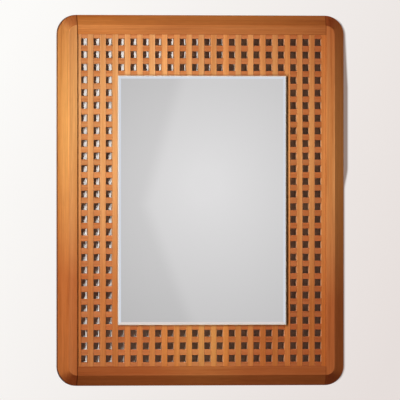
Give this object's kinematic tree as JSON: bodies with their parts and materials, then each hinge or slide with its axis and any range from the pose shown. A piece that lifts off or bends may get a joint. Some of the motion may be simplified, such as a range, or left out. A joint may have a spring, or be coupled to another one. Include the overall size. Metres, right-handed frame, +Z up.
{
  "type": "wall mirror",
  "caption": "Teak wall mirror: bevelled glass on a half-lapped square lattice, in a wide bevelled frame with rounded corners.",
  "frame": {"origin": "on the wall plane, midway between the head holes of the two keyhole plates", "axes": "+X to the right as seen from the front, +Y back into the wall, +Z up; the glass faces -Y"},
  "size_m": [0.884, 0.033, 1.112],
  "materials": {
    "teak_frame": "oiled satin",
    "teak_upright_slat": "oiled satin",
    "teak_cross_slat": "oiled satin",
    "silvered_glass": "polished",
    "birch_plywood": "sanded",
    "brass": "satin"
  },
  "bodies": {
    "root": {"stile_left": "teak_frame", "stile_right": "teak_frame", "rail_top": "teak_frame", "rail_bottom": "teak_frame", "mirror_glass": "silvered_glass", "backing_board": "birch_plywood", "board_screws": "brass", "hanger_plate_left": "brass", "hanger_plate_right": "brass", "hanger_screws": "brass", "slat_vertical_01": "teak_upright_slat", "slat_vertical_02": "teak_upright_slat", "slat_vertical_03": "teak_upright_slat", "slat_vertical_04": "teak_upright_slat", "slat_vertical_05": "teak_upright_slat", "slat_vertical_06": "teak_upright_slat", "slat_vertical_07": "teak_upright_slat", "slat_vertical_08": "teak_upright_slat", "slat_vertical_09": "teak_upright_slat", "slat_vertical_10": "teak_upright_slat", "slat_vertical_11": "teak_upright_slat", "slat_vertical_12": "teak_upright_slat", "slat_vertical_13": "teak_upright_slat", "slat_vertical_14": "teak_upright_slat", "slat_vertical_15": "teak_upright_slat", "slat_vertical_16": "teak_upright_slat", "slat_vertical_17": "teak_upright_slat", "slat_vertical_18": "teak_upright_slat", "slat_vertical_19": "teak_upright_slat", "slat_vertical_20": "teak_upright_slat", "slat_vertical_21": "teak_upright_slat", "slat_horizontal_01": "teak_cross_slat", "slat_horizontal_02": "teak_cross_slat", "slat_horizontal_03": "teak_cross_slat", "slat_horizontal_04": "teak_cross_slat", "slat_horizontal_05": "teak_cross_slat", "slat_horizontal_06": "teak_cross_slat", "slat_horizontal_07": "teak_cross_slat", "slat_horizontal_08": "teak_cross_slat", "slat_horizontal_09": "teak_cross_slat", "slat_horizontal_10": "teak_cross_slat", "slat_horizontal_11": "teak_cross_slat", "slat_horizontal_12": "teak_cross_slat", "slat_horizontal_13": "teak_cross_slat", "slat_horizontal_14": "teak_cross_slat", "slat_horizontal_15": "teak_cross_slat", "slat_horizontal_16": "teak_cross_slat", "slat_horizontal_17": "teak_cross_slat", "slat_horizontal_18": "teak_cross_slat", "slat_horizontal_19": "teak_cross_slat", "slat_horizontal_20": "teak_cross_slat", "slat_horizontal_21": "teak_cross_slat", "slat_horizontal_22": "teak_cross_slat", "slat_horizontal_23": "teak_cross_slat", "slat_horizontal_24": "teak_cross_slat", "slat_horizontal_25": "teak_cross_slat", "slat_horizontal_26": "teak_cross_slat", "slat_horizontal_27": "teak_cross_slat"}
  },
  "joints": []
}
